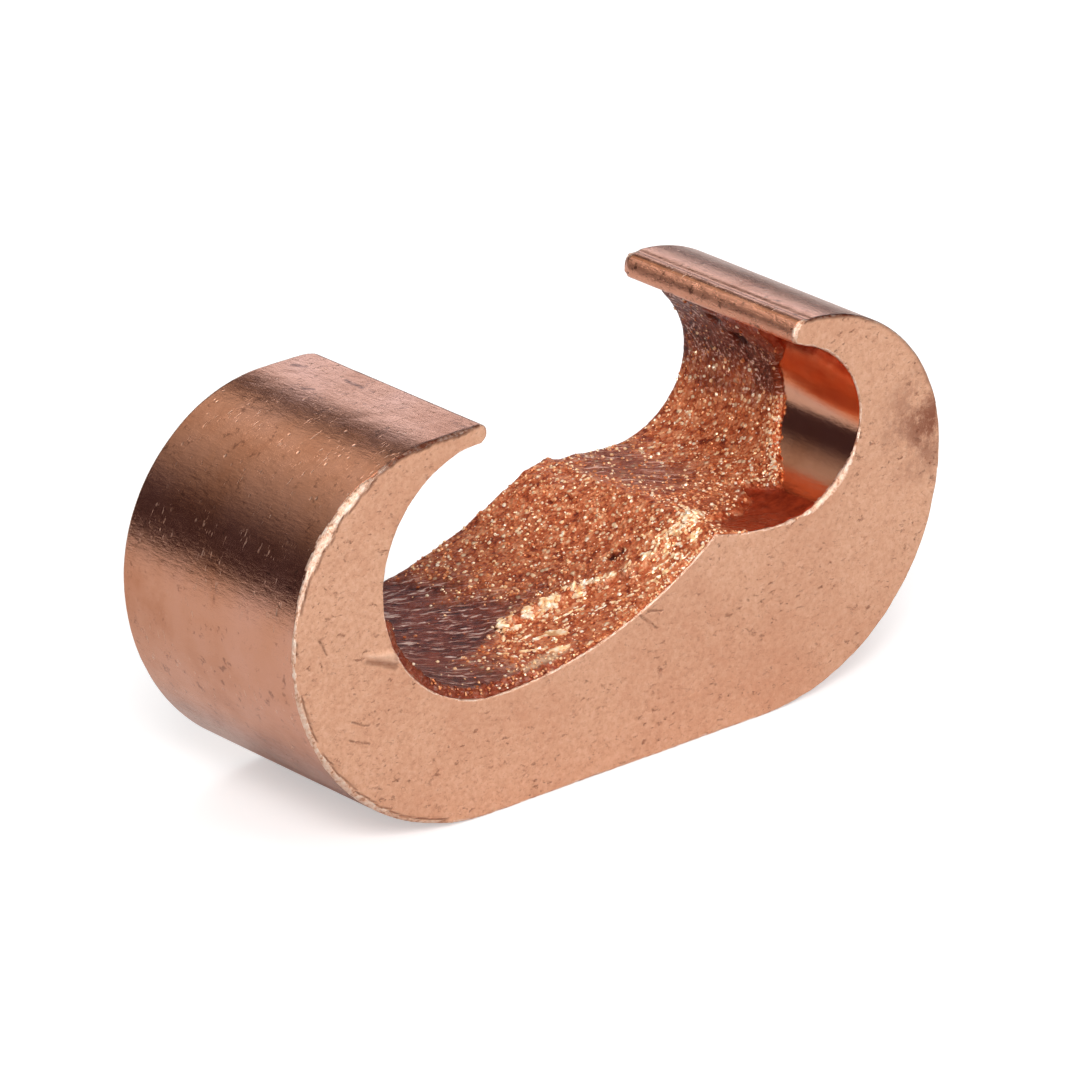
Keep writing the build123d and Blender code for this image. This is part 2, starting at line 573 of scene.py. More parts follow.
    # Scratches, and painted shade along the rims, in the crease behind them and under the burr
    marks_and_rim_shade = add(
        m,
        "ShaderNodeMath",
        {"operation": "MAXIMUM"},
        i0=add(m, "ShaderNodeMath", {"operation": "MULTIPLY"}, i0=scratched, i1=0.8).outputs[0],
        i1=rim_shade,
    ).outputs[0]
    tint = add(
        m,
        "ShaderNodeMix",
        {"data_type": "RGBA"},
        i0=add(m, "ShaderNodeMath", {"operation": "MULTIPLY"}, i0=marks_and_rim_shade, i1=0.8).outputs[0],
        i6=tint,
        i7=colour("#6B3822"),
    ).outputs[2]
    normal = add(m, "ShaderNodeBump", Height=fine, Strength=0.45, Distance=0.05 * MM).outputs[0]
    normal = add(
        m, "ShaderNodeBump", Height=grain, Strength=0.3, Distance=0.12 * MM, Normal=normal
    ).outputs[0]
    normal = add(
        m, "ShaderNodeBump", Height=pits, Strength=0.8, Distance=-0.08 * MM, Normal=normal
    ).outputs[0]
    normal = add(
        m, "ShaderNodeBump", Height=marks_and_rim_shade, Strength=0.7, Distance=-0.06 * MM, Normal=normal
    ).outputs[0]
    shader = add(
        m, "ShaderNodeBsdfPrincipled", Base_Color=tint, Metallic=1.0, Roughness=0.5, Normal=normal
    )
    add(m, "ShaderNodeOutputMaterial", Surface=shader.outputs["BSDF"])
    return m


def highlighted_rim():
    """The rolled rims: copper smeared over by the shear, painted pale and near-white as a painted
    highlight.
    """
    m = new_material("rim_copper_painted_highlight")
    place = add(m, "ShaderNodeTexCoord").outputs["Object"]
    rim_shade = add(m, "ShaderNodeAttribute", {"attribute_name": "rim_shade"}).outputs["Fac"]
    grain = add(
        m, "ShaderNodeTexNoise", Vector=place, Scale=2.6 / MM, Detail=5.0, Roughness=0.75
    ).outputs[0]
    tint = add(
        m,
        "ShaderNodeValToRGB",
        stops=[(0.36, colour("#B57A5C")), (0.46, colour("#E8BCA0")), (0.66, colour("#FBE6D4"))],
        Fac=grain,
    ).outputs[0]
    # Painted shade darkens the rim where the rim shade attribute is set
    painted_dark = add(
        m,
        "ShaderNodeMath",
        {"operation": "MULTIPLY"},
        i0=rim_shade,
        i1=add(m, "ShaderNodeValToRGB", stops=[(0.44, 1.0), (0.62, 0.8)], Fac=grain).outputs[0],
    ).outputs[0]
    tint = add(
        m, "ShaderNodeMix", {"data_type": "RGBA"}, i0=painted_dark, i6=tint, i7=colour("#5C2A1A")
    ).outputs[2]
    normal = add(m, "ShaderNodeBump", Height=grain, Strength=0.6, Distance=0.2 * MM).outputs[0]
    shader = add(
        m, "ShaderNodeBsdfPrincipled", Base_Color=tint, Metallic=1.0, Roughness=0.33, Normal=normal
    )
    add(m, "ShaderNodeOutputMaterial", Surface=shader.outputs["BSDF"])
    return m


def grit_paste():
    """Joint compound: a brown grease filled with copper grit, wet on top and dark where thin."""
    m = new_material("copper_grit_compound")
    place = add(m, "ShaderNodeTexCoord").outputs["Object"]
    mixed = add(m, "ShaderNodeAttribute", {"attribute_name": "coat_mix"})
    shares = add(m, "ShaderNodeSeparateColor", Color=mixed.outputs["Color"])
    smear, red, pit_shade = shares.outputs[:3]
    wet = mixed.outputs["Alpha"]
    # Grit 0.2 mm across, every grain its own shade
    grit = add(m, "ShaderNodeTexVoronoi", Vector=place, Scale=4.2 / MM)
    shade = add(m, "ShaderNodeSeparateColor", Color=grit.outputs["Color"]).outputs[1]
    # Lumps of paste 0.8 mm across
    lumps = add(
        m, "ShaderNodeTexNoise", Vector=place, Scale=1.3 / MM, Detail=6.0, Roughness=0.72
    ).outputs[0]
    # Painted glints: bright flakes of grit 0.3 mm across, in about half of the cells of 0.6 mm
    flake = add(m, "ShaderNodeTexVoronoi", Vector=place, Scale=1.6 / MM)
    chance = add(m, "ShaderNodeSeparateColor", Color=flake.outputs["Color"]).outputs[0]
    glint_flakes = add(
        m,
        "ShaderNodeMath",
        {"operation": "MULTIPLY"},
        i0=add(
            m, "ShaderNodeValToRGB", stops=[(0.17, 1.0), (0.3, 0.0)], Fac=flake.outputs["Distance"]
        ).outputs[0],
        i1=add(m, "ShaderNodeValToRGB", stops=[(0.35, 0.0), (0.6, 1.0)], Fac=chance).outputs[0],
    ).outputs[0]
    # Wiping streaks 0.2 mm wide and a millimetre or more long, slantwise across the part
    wiped = add(
        m,
        "ShaderNodeMapping",
        {"vector_type": "TEXTURE"},
        i0=wavering(m, place, 0.9 / MM, 0.5),
        i2=(0.0, 0.0, math.radians(-38)),
        i3=(6, 1, 1),
    ).outputs[0]
    brushed = add(
        m, "ShaderNodeTexNoise", Vector=wiped, Scale=4.2 / MM, Detail=5.0, Roughness=0.66
    ).outputs[0]
    broad = add(
        m, "ShaderNodeTexNoise", Vector=place, Scale=0.42 / MM, Detail=4.0, Roughness=0.6
    ).outputs[0]
    # The gritty paste, from grease in the hollows to bare grit on top
    gritty = add(
        m,
        "ShaderNodeValToRGB",
        stops=[
            (0.32, colour("#74240E")),
            (0.46, colour("#B8562E")),
            (0.58, colour("#D87E52")),
            (0.72, colour("#F2B084")),
        ],
        Fac=add(
            m,
            "ShaderNodeMath",
            {"operation": "MULTIPLY_ADD"},
            i0=shade,
            i1=0.22,
            i2=add(m, "ShaderNodeMath", {"operation": "MULTIPLY"}, i0=lumps, i1=0.8).outputs[0],
        ).outputs[0],
    ).outputs[0]
    gritty = add(
        m,
        "ShaderNodeMix",
        {"data_type": "RGBA"},
        i0=add(m, "ShaderNodeMath", {"operation": "MULTIPLY"}, i0=glint_flakes, i1=0.9).outputs[0],
        i6=gritty,
        i7=colour("#FFDFB6"),
    ).outputs[2]
    # The wiped paste, dark grease between pale streaks of smeared copper
    smeared = add(
        m,
        "ShaderNodeValToRGB",
        stops=[
            (0.38, colour("#2C0A03")),
            (0.47, colour("#66220D")),
            (0.55, colour("#984226")),
            (0.62, colour("#FFE2D2")),
        ],
        Fac=brushed,
    ).outputs[0]
    smeared = add(
        m,
        "ShaderNodeMix",
        {"data_type": "RGBA"},
        i0=add(m, "ShaderNodeValToRGB", stops=[(0.48, 0.0), (0.68, 0.7)], Fac=broad).outputs[0],
        i6=smeared,
        i7=colour("#A04A2C"),
    ).outputs[2]
    tint = add(
        m, "ShaderNodeMix", {"data_type": "RGBA"}, i0=smear, i6=gritty, i7=smeared
    ).outputs[2]
    # Where the paste is thin its grease shows wet and red
    thin = add(
        m,
        "ShaderNodeValToRGB",
        stops=[(0.35, colour("#7C2610")), (0.6, colour("#A83E20"))],
        Fac=lumps,
    ).outputs[0]
    tint = add(m, "ShaderNodeMix", {"data_type": "RGBA"}, i0=red, i6=tint, i7=thin).outputs[2]
    # On the wet crest, gathered grit and a painted highlight make it nearly cream, and the pits get
    # painted shade
    cream = add(
        m,
        "ShaderNodeValToRGB",
        stops=[(0.36, colour("#C9844E")), (0.52, colour("#FFE2BC"))],
        Fac=lumps,
    ).outputs[0]
    tint = add(m, "ShaderNodeMix", {"data_type": "RGBA"}, i0=wet, i6=tint, i7=cream).outputs[2]
    # Painted shade: the pits and the deep end of the run groove are painted dark
    tint = add(
        m, "ShaderNodeMix", {"data_type": "RGBA"}, i0=pit_shade, i6=tint, i7=colour("#42130A")
    ).outputs[2]
    # The red paste is smooth, and the wiped one has its streaks instead of grit
    rough_share = add(
        m, "ShaderNodeMath", {"operation": "MULTIPLY_ADD"}, i0=red, i1=-0.85, i2=1.0
    ).outputs[0]
    unbrushed = add(
        m, "ShaderNodeMath", {"operation": "MULTIPLY_ADD"}, i0=smear, i1=-0.7, i2=1.0
    ).outputs[0]
    rough = add(
        m, "ShaderNodeMath", {"operation": "MULTIPLY_ADD"}, i0=red, i1=-0.16, i2=0.38
    ).outputs[0]
    rough = add(
        m, "ShaderNodeMath", {"operation": "MULTIPLY_ADD"}, i0=wet, i1=-0.14, i2=rough
    ).outputs[0]
    rough = add(
        m, "ShaderNodeMath", {"operation": "MULTIPLY_ADD"}, i0=smear, i1=-0.1, i2=rough
    ).outputs[0]
    gap = add(
        m, "ShaderNodeMath", {"operation": "MULTIPLY"}, i0=grit.outputs["Distance"], i1=unbrushed
    ).outputs[0]
    normal = add(
        m,
        "ShaderNodeBump",
        Height=add(
            m, "ShaderNodeMath", {"operation": "MULTIPLY"}, i0=gap, i1=rough_share
        ).outputs[0],
        Strength=0.8,
        Distance=0.12 * MM,
    ).outputs[0]
    normal = add(
        m,
        "ShaderNodeBump",
        Height=add(
            m, "ShaderNodeMath", {"operation": "MULTIPLY"}, i0=lumps, i1=rough_share
        ).outputs[0],
        Strength=0.55,
        Distance=0.24 * MM,
        Normal=normal,
    ).outputs[0]
    normal = add(
        m,
        "ShaderNodeBump",
        Height=add(
            m, "ShaderNodeMath", {"operation": "MULTIPLY"}, i0=glint_flakes, i1=rough_share
        ).outputs[0],
        Strength=0.5,
        Distance=0.1 * MM,
        Normal=normal,
    ).outputs[0]
    normal = add(
        m,
        "ShaderNodeBump",
        Height=add(m, "ShaderNodeMath", {"operation": "MULTIPLY"}, i0=brushed, i1=smear).outputs[0],
        Strength=1.0,
        Distance=0.22 * MM,
        Normal=normal,
    ).outputs[0]
    shader = add(
        m,
        "ShaderNodeBsdfPrincipled",
        Base_Color=tint,
        Metallic=0.4,
        Specular_IOR_Level=0.28,
        Roughness=rough,
        Normal=normal,
    )
    add(m, "ShaderNodeOutputMaterial", Surface=shader.outputs["BSDF"])
    return m


def copper_grit(name, dark, mid, light):
    """Copper grains that stand out of the compound: broken and wet; the near-white set paints
    glints on them.
    """
    m = new_material(name)
    place = add(m, "ShaderNodeTexCoord").outputs["Object"]
    tint = add(
        m,
        "ShaderNodeValToRGB",
        stops=[(0.35, colour(dark)), (0.5, colour(mid)), (0.65, colour(light))],
        Fac=add(
            m, "ShaderNodeTexNoise", Vector=place, Scale=2.4 / MM, Detail=1.0, Roughness=0.6
        ).outputs[0],
    ).outputs[0]
    shader = add(m, "ShaderNodeBsdfPrincipled", Base_Color=tint, Metallic=0.45, Roughness=0.34)
    add(m, "ShaderNodeOutputMaterial", Surface=shader.outputs["BSDF"])
    return m


# The copper body
def arc(circle, start, end):
    """A run of the outline on a circle or an ellipse, from one angle to another."""
    (x, z), (wide, high) = circle

    def place(t):
        angle = math.radians(start + (end - start) * t)
        return Vector((x + wide * math.cos(angle), z + high * math.sin(angle)))

    return place


def straight(start, end):
    """A straight run of the outline."""
    return lambda t: Vector(start).lerp(Vector(end), t)


# The C from the run tip round to the nose, as runs of the outside and of the inside that lie
# against each other, each cut into a number of columns
RUNS = (
    (22, straight(RUN_TIP_TOP, (-13.6, 25.1)), arc(RUN_GROOVE, 88.6, 116.8)),
    (62, arc(RUN_SHOULDER, 90, 180), arc(RUN_GROOVE, 116.8, 187.7)),
    (70, arc(RUN_HEEL, 180, 270), arc(RUN_GROOVE, 187.7, 270)),
    (58, straight((-11.3, 0), (5.6, 0)), arc(SLOPE, -90, SLOPE_END)),
    (20, straight((5.6, 0), (10.15, 0)), arc(SADDLE, SADDLE_START, -90)),
    (74, arc(TAP_HEEL, 270, 360), arc(TAP_GROOVE, -90, -20)),
    (54, arc(TAP_SHOULDER, 0, 90), arc(TAP_GROOVE, -20, 60)),
    (14, straight((15.05, 24.8), NOSE_UPPER), straight((15.6, 22.79), NOSE_LOWER)),
)
COLUMNS = sum(run[0] for run in RUNS)
ROWS = 44
# Where the rows nearest a rim lie, and the count of steps along Y
RIM_STEPS = (0.0, 0.06, 0.12, 0.19, 0.27, 0.36, 0.46, 0.57, 0.69, 0.85, 1.05)
END_STEPS = 56
# In thinner metal than this the rows nearest the rims lie closer together
FULL_STEPS_WIDTH = 4.4
# A tip is drawn back towards the place that lies this many columns further in
COLUMNS_IN = 12
# How far along the arms the rounding of the tips fades out
TIP_REACH = 1.7
# The radius of each tip's rounding over and under, by its column
TIPS = ((0, 0.55, 0.55), (COLUMNS, 0.96, 0.26))
# How far both cut ends lie back, on the whole, and how far in the far end is worn back at the
# run tip and at the nose
FACE_SET_BACK = 0.07
CORNER_WEAR = (1.3, 0.7)


def columns():
    """The outside and inside point of each column."""
    pairs = []
    for count, outside, inside in RUNS:
        pairs += [(outside(i / count), inside(i / count)) for i in range(count)]
    return pairs + [(RUNS[-1][1](1), RUNS[-1][2](1))]


def row_shares(width):
    """How far across the metal each row lies: close together at both rims."""
    scale = min(1.0, width / FULL_STEPS_WIDTH)
    near = [step * scale / width for step in RIM_STEPS]
    middle = ROWS - 2 * (len(near) - 1)
    first, last = near[-1], 1 - near[-1]
    between = [first + (last - first) * i / middle for i in range(1, middle)]
    return near + between + [1 - share for share in reversed(near)]


def station(step):
    """The place along Y of a step, close together at both ends."""
    ends = len(RIM_STEPS) - 1
    if step <= ends:
        return RIM_STEPS[step] - HALF_LENGTH
    if step >= END_STEPS - ends:
        return HALF_LENGTH - RIM_STEPS[END_STEPS - step]
    reach = HALF_LENGTH - RIM_STEPS[-1]
    return -reach + 2 * reach * (step - ends) / (END_STEPS - 2 * ends)


def tip_pull(distance, depth, radius):
    """How far a rounded tip draws a point back, by its depth in the metal from the corner."""
    if depth >= radius:
        return 0.0
    back = radius - math.sqrt(radius**2 - (radius - depth) ** 2)
    return back * max(0.0, 1 - distance / TIP_REACH)


def section_grid():
    """Where every column and row lies on the section, with both tips rounded."""
    pairs = columns()
    grid = []
    for outside, inside in pairs:
        width = (inside - outside).length
        grid.append([outside.lerp(inside, share) for share in row_shares(width)])
    for tip, upper, lower in TIPS:
        first = [p.copy() for p in grid[tip]]
        wall = (first[0] - first[-1]).length
        step = 1 if tip == 0 else -1
        column = tip
        while min((grid[column][r] - first[r]).length for r in (0, ROWS)) < TIP_REACH:
            after = grid[column + COLUMNS_IN * step]
            for row in range(ROWS + 1):
                gap = (grid[column][row] - first[row]).length
                depth = (first[row] - first[0]).length
                pull = tip_pull(gap, depth, upper) + tip_pull(gap, wall - depth, lower)
                way = (after[row] - grid[column][row]).normalized()
                grid[column][row] = grid[column][row] + way * pull
            column += step
    return grid


def outline_keys():
    """The columns and rows on the outline, once round it."""
    keys = [(c, 0) for c in range(COLUMNS + 1)]
    keys += [(COLUMNS, r) for r in range(1, ROWS + 1)]
    keys += [(c, ROWS) for c in range(COLUMNS - 1, -1, -1)]
    return keys + [(0, r) for r in range(ROWS - 1, 0, -1)]


def inward_normals(grid):
    """For each place on the outline, the direction into the metal."""
    keys = outline_keys()
    inward = {}
    for i, key in enumerate(keys):
        before = keys[i - 1]
        after = keys[(i + 1) % len(keys)]
        along = grid[after[0]][after[1]] - grid[before[0]][before[1]]
        inward[key] = Vector((-along.y, along.x)).normalized()
    return inward


# How wide the front rim is rolled over, by the column along the outside and along the inside
# The rolled rim carries a painted highlight, so these widths are also the highlight's widths
OUTER_RIM = (
    (0, 0.2),
    (22, 0.2),
    (34, 0.2),
    (40, 0.34),
    (48, 0.42),
    (62, 0.42),
    (70, 0.2),
    (84, 0.17),
    (94, 0.26),
    (108, 0.32),
    (126, 0.3),
    (140, 0.22),
    (150, 0.14),
    (212, 0.14),
    (250, 0.1),
    (350, 0.12),
    (364, 0.16),
    (372, 0.34),
)
INNER_RIM = (
    (0, 0.1),
    (200, 0.12),
    (236, 0.16),
    (256, 0.3),
    (286, 0.3),
    (296, 0.14),
    (340, 0.12),
    (366, 0.2),
    (372, 0.3),
)
# How wide the far rim is rounded: widest at the two tips
FAR_RIM = ((0, 0.45), (22, 0.3), (40, 0.2), (340, 0.2), (358, 0.45), (372, 0.8))
# How dark the painted shade along the front rim is, by the column along the outside
RIM_SHADE = (
    (0, 0.8),
    (32, 1.0),
    (40, 0.5),
    (44, 0.0),
    (300, 0.0),
    (312, 0.4),
    (340, 0.5),
    (348, 1.0),
    (366, 0.9),
    (372, 0.2),
)


# The rim across the front of the run tip and of the nose, and the least rim anywhere
RUN_TIP_RIM = 0.16
NOSE_RIM = 0.34
LEAST_RIM = 0.07
# How wide and how deep the crease behind a wide rim is, with its painted shade, and how far the
# rim's painted shade spreads
CREASE_WIDTH = 0.1
CREASE_DEPTH = 0.04
RIM_SHADE_SPREAD = 0.16
# How far in from the skin its bruises, and from a cut end its dents and its corner wear, fade out
SKIN_REACH = 0.6
END_REACH = 1.2
CORNER_REACH = 3.0


def rim_radius(key, front):
    """How far the rim is rounded at a place on the outline."""
    column, row = key
    if not front:
        return on_line(FAR_RIM, column)
    if 0 < row < ROWS:
        return RUN_TIP_RIM if column == 0 else NOSE_RIM
    width = on_line(OUTER_RIM if row == 0 else INNER_RIM, column)
    uneven = noise.noise(Vector((column * 0.21, 3.0 * (row > 0), 0.5)))
    uneven += 0.8 * noise.noise(Vector((column * 0.7, 7.0, 2.5)))
    return max(LEAST_RIM, width * (1 + 0.55 * uneven))


def rounded(depth, back, radius):
    """A point near a sharp rim, moved onto the rounded one."""
    if depth >= radius or back >= radius:
        return depth, back
    reach = math.hypot(radius - depth, radius - back)
    if reach <= radius:
        return depth, back
    scale = radius / reach
    return radius - (radius - depth) * scale, radius - (radius - back) * scale


# A burr that the shear left beside the run groove: its root, its tip, and its width
BURR = (Vector((-17.45, 12.2)), Vector((-19.7, 12.95)), 0.5)


def burr_height(place):
    """How far the burr stands up at a place, from 0 to 1."""
    root, tip, width = BURR
    along = tip - root
    share = (place - root).dot(along) / along.length_squared
    if share > 1 or share < -0.1:
        return 0.0
    aside = (place - root - along * share).length
    reach = width * (1 - 0.85 * max(0.0, share))
    return max(0.0, 1 - (aside / reach) ** 2)


def end_dent(place, front):
    """How far the cut end lies back at a place: broad waves, bruises, a few pits, and the burr."""
    seed = 11.0 if front else 47.0
    wave = noise.noise(Vector((place.x * 0.16, place.y * 0.16, seed)))
    bruise = noise.noise(Vector((place.x * 0.55, place.y * 0.55, seed + 3)))
    pit = noise.noise(Vector((place.x * 1.5, place.y * 1.5, seed + 7)))
    dent = FACE_SET_BACK + 0.03 * wave + 0.03 * max(0.0, bruise) + 0.07 * max(0.0, pit - 0.4)
    if front:
        dent -= 0.1 * burr_height(place) - 0.06 * burr_height(place + Vector((0.1, 0.3)))
    return max(0.0, dent)


def corner_pull(place):
    """How far the far end is worn back beside the run tip and the nose."""
    if place.y < 20:
        return 0.0
    corner, worn = (RUN_TIP_TOP, CORNER_WEAR[0]) if place.x < 0 else (NOSE_UPPER, CORNER_WEAR[1])
    gap = abs(place.x - corner[0])
    return worn - math.sqrt(max(0.0, worn**2 - max(0.0, worn - gap) ** 2))


def skin_dent(place, y):
    """How far the drawn skin is bruised at a place."""
    wave = noise.noise(Vector((place.x * 0.3, y * 0.12, place.y * 0.3)))
    bruise = noise.noise(Vector((place.x * 0.9 + 5, y * 0.5, place.y * 0.9)))
    return 0.012 + 0.008 * wave + 0.05 * max(0.0, bruise - 0.45)


# The coppers of the body, in the order of its materials
SKIN, CUT_END, RIM, BORE, NOSE = range(5)


def skin_kind(x, z):
    """Which drawn copper a place on the outline shows."""
    if x < NOSE_LOWER[0] + 0.5 and z > NOSE_LOWER[1] - 0.2 and x > 0:
        return NOSE
    (tap_x, tap_z), (wide, high) = TAP_GROOVE
    (run_x, run_z), (radius, _) = RUN_GROOVE
    in_tap = math.hypot((x - tap_x) / wide, (z - tap_z) / high) < 1.04
    in_run = math.hypot(x - run_x, z - run_z) < radius + 0.3
    return BORE if in_tap or in_run else SKIN


def copper_body():
    """The C: a bar of fine squares, bent to the section, with rolled rims and bruises."""
    grid = section_grid()
    inward = inward_normals(grid)
    bm = bmesh.new()
    rim_shade = bm.verts.layers.float.new("rim_shade")
    burr_highlight = bm.verts.layers.float.new("burr_highlight")
    rim = bm.verts.layers.float.new("rim")
    bmesh.ops.create_grid(bm, x_segments=COLUMNS, y_segments=ROWS, size=1)
    made = bmesh.ops.extrude_face_region(bm, geom=bm.faces[:], use_keep_orig=True)
    far = [v for v in made["geom"] if isinstance(v, bmesh.types.BMVert)]
    bmesh.ops.translate(bm, verts=far, vec=(0, 0, 1))
    long_edges = [e for e in bm.edges if abs(e.verts[0].co.z - e.verts[1].co.z) > 0.5]
    bmesh.ops.subdivide_edges(bm, edges=long_edges, cuts=END_STEPS - 1, use_grid_fill=True)
    for vert in bm.verts:
        column = round((vert.co.x + 1) / 2 * COLUMNS)
        row = round((vert.co.y + 1) / 2 * ROWS)
        step = round(vert.co.z * END_STEPS)
        place = grid[column][row]
        key = (column, row)
        y = station(step)
        front = y < 0
        back = HALF_LENGTH - abs(y)
        if key in inward:
            depth = 0.0
        else:
            sides = [((column, 0), (column, 0)), ((column, ROWS), (column, ROWS))]
            sides += [((0, row), (0, row)), ((COLUMNS, row), (COLUMNS, row))]
            near = [((grid[c][r] - place).length, k) for (c, r), k in sides]
            depth, key = min(near)
        radius = rim_radius(key, front)
        in_by, back_by = rounded(depth, back, radius)
        # Painted shade: a dark line in the crease behind a wide rim, and along the rim of some
        # columns
        if front and key[1] == 0:
            if radius > 0.2:
                vert[rim_shade] = max(0.0, 1 - abs(depth - radius - 0.06) / CREASE_WIDTH)
                back_by += CREASE_DEPTH * vert[rim_shade]
            past = max(0.0, max(depth, back) - radius)
            tarnish_and_rim_shade = on_line(RIM_SHADE, key[0]) * max(0.0, 1 - past / RIM_SHADE_SPREAD)
            vert[rim_shade] = max(vert[rim_shade], tarnish_and_rim_shade)
        # Painted highlight on the burr, and painted shadow just under it
        if front and back < 0.3:
            vert[burr_highlight] = 0.9 * burr_height(place)
            below = burr_height(place + Vector((0.1, 0.32))) - burr_height(place)
            vert[rim_shade] = max(vert[rim_shade], 0.6 * smooth(0.0, 0.6, below))
        vert[rim] = 1.0 if max(depth, back) < radius + 0.01 else 0.0
        skin = skin_dent(place, y) * max(0.0, 1 - depth / SKIN_REACH)
        moved = place + inward[key] * (in_by - depth + skin)
        back_by += end_dent(place, front) * max(0.0, 1 - back / END_REACH)
        if not front:
            back_by += corner_pull(place) * max(0.0, 1 - back / CORNER_REACH)
        y = math.copysign(HALF_LENGTH - back_by, y)
        vert.co = Vector((moved.x, y, moved.y)) * MM
    bmesh.ops.recalc_face_normals(bm, faces=bm.faces)
    for face in bm.faces:
        face.smooth = True
        middle = face.calc_center_median() / MM
        kind = skin_kind(middle.x, middle.z)
        face.material_index = CUT_END if abs(face.normal.y) > 0.6 else kind
        # Faces on the rolled rim take the rim copper, with its painted highlight
        if sum(vert[rim] for vert in face.verts) > 2.5:
            face.material_index = NOSE if kind == NOSE and middle.y > 0 else RIM
    bm.verts.layers.float.remove(rim)
    return bm


def piece(name, bm, materials):
    """A finished piece at the origin, from its mesh and its materials."""
    mesh = bpy.data.meshes.new(name)
    bm.to_mesh(mesh)
    bm.free()
    made = bpy.data.objects.new(name, mesh)
    bpy.context.collection.objects.link(made)
    for material in materials:
        mesh.materials.append(material)
    return made


coppers = [
    drawn_copper("drawn_copper_skin", 0.26, 1.0, 0.14, 0.27),
    sheared_copper(),
    highlighted_rim(),
    drawn_copper("drawn_copper_bore", 0.12, 0.25, 0.1, 0.17, 17.45),
    drawn_copper("drawn_copper_nose", 0.9, 1.5, 0.2, 0.4, painted_paling=0.8),
]
body = piece("copper_c_body", copper_body(), coppers)
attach(body, "root")
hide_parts("c_body")


# The joint compound. How long each part of the road inside the C is:
SLOPE_LENGTH = 18.17
RUN_ARC_LENGTH = 12.31
SADDLE_LENGTH = 5.33
WALL_LENGTH = 15.9
ALONG_START = -SLOPE_LENGTH - RUN_ARC_LENGTH
ALONG_END = SADDLE_LENGTH + WALL_LENGTH
# The side of the coat's squares, its two ends along Y, how deep it is set into the copper, and
# how far in its rims are rounded
CELL = 0.15
COAT_FRONT = 0.1 - HALF_LENGTH
COAT_BACK = HALF_LENGTH - 0.14
COAT_ROOT = -0.07
COAT_RIM = 0.45

# The inside of the C as a road: the run groove's wall, the slope, the ridge at 0, the saddle and
# the tap groove's wall up to its lip
ROAD = (
    (ALONG_START, -SLOPE_LENGTH, arc(RUN_GROOVE, 184, 270)),
    (-SLOPE_LENGTH, 0.0, arc(SLOPE, -90, SLOPE_END)),
    (0.0, SADDLE_LENGTH, arc(SADDLE, SADDLE_START, -90)),
    (SADDLE_LENGTH, ALONG_END, arc(TAP_GROOVE, -90, 60)),
)

# The coat's torn front edge, as places along the road and along Y
TORN_EDGE = (
    (-30.5, -8.9),
    (-16.0, -8.9),
    (-14.6, -4.6),
    (-13.3, -2.4),
    (-10.7, -2.75),
    (-9.6, -3.0),
    (-7.6, -3.55),
    (-6.6, -4.35),
    (-5.4, -5.4),
    (-4.4, -5.85),
    (-1.9, -6.4),
    (-0.9, -6.95),
    (1.0, -5.85),
    (4.3, -5.7),
    (6.2, -4.05),
    (6.57, -2.5),
    (6.95, -2.75),
    (7.55, -4.05),
    (8.0, -5.0),
    (9.06, -3.85),
    (10.3, -2.55),
    (11.4, -1.7),
    (13.4, -1.3),
    (15.6, -0.75),
    (17.2, -1.9),
    (21.5, -1.5),
)


def road_place(along):
    """The place on the copper at a distance along the road."""
    for start, end, run in ROAD:
        if along <= end or end == ALONG_END:
            return run((along - start) / (end - start))


def on_road(along):
    """The place on the copper, and the way out of it, at a distance along the road."""
    ahead = road_place(along + 0.35) - road_place(along - 0.35)
    return road_place(along), Vector((-ahead.y, ahead.x)).normalized()


def ragged(along, y, size):
    """Noise on the coat, with lumps of a size in millimetres."""
    return noise.noise(Vector((along / size, y / size, size * 3.1)))


# Pits in the coat, as a place along the road and along Y, and a radius
POCKETS = (
    (-13.25, -2.3, 0.3),
    (-4.43, -3.2, 0.35),
    (-3.7, -3.5, 0.22),
    (18.3, 3.9, 0.5),
    (17.0, 2.2, 0.6),
)


def pocket_share(along, y):
    """How deep a place lies in a pit, from 0 to 1."""
    deep = 0.0
    for pit_along, pit_y, radius in POCKETS:
        gap = math.hypot(along - pit_along, (y - pit_y) * 0.7) / radius
        deep = max(deep, 1 - smooth(0.4, 1.2, gap + 0.3 * ragged(along, y, 0.3)))
    return deep


def clumps(along, y):
    """Where wet grit gathers in clumps, from 0 to 1."""
    return smooth(-0.12, 0.2, ragged(along, y, 0.75) + 0.4 * ragged(along, y, 0.3))


def coat_edge(along):
    """Where the coat's torn front edge lies along Y."""
    return on_line(TORN_EDGE, along) + 0.3 * ragged(along, 3, 0.9) + 0.2 * ragged(along, 9, 0.3)


# How strong the wet crest along the coat's front edge is, by the place along the road
CREST = (
    (-14.2, 0.0),
    (-13.2, 0.5),
    (-12.2, 1.0),
    (-9.6, 1.0),
    (-8.9, 0.5),
    (-8.1, 0.9),
    (-6.9, 0.7),
    (-6.2, 0.25),
    (-2.6, 0.3),
    (-1.6, 0.8),
    (0.2, 0.8),
    (1.6, 0.0),
)


def wet_share(along, y):
    """How far a place lies on the wet crest, from 0 to 1."""
    behind = y - coat_edge(along)
    return math.exp(-(((behind - 0.3) / 0.34) ** 2)) * on_line(CREST, along)


# How much thicker the coat is at the far end, by the place along the road
FAR_LAYER = (
    (-30.0, 0.3),
    (-15.0, 0.33),
    (-11.0, 0.5),
    (-4.0, 0.52),
    (-1.6, 0.42),
    (-0.9, 0.1),
    (-0.2, -0.3),
    (1.2, -0.3),
    (2.2, 0.05),
    (6.0, 0.0),
)


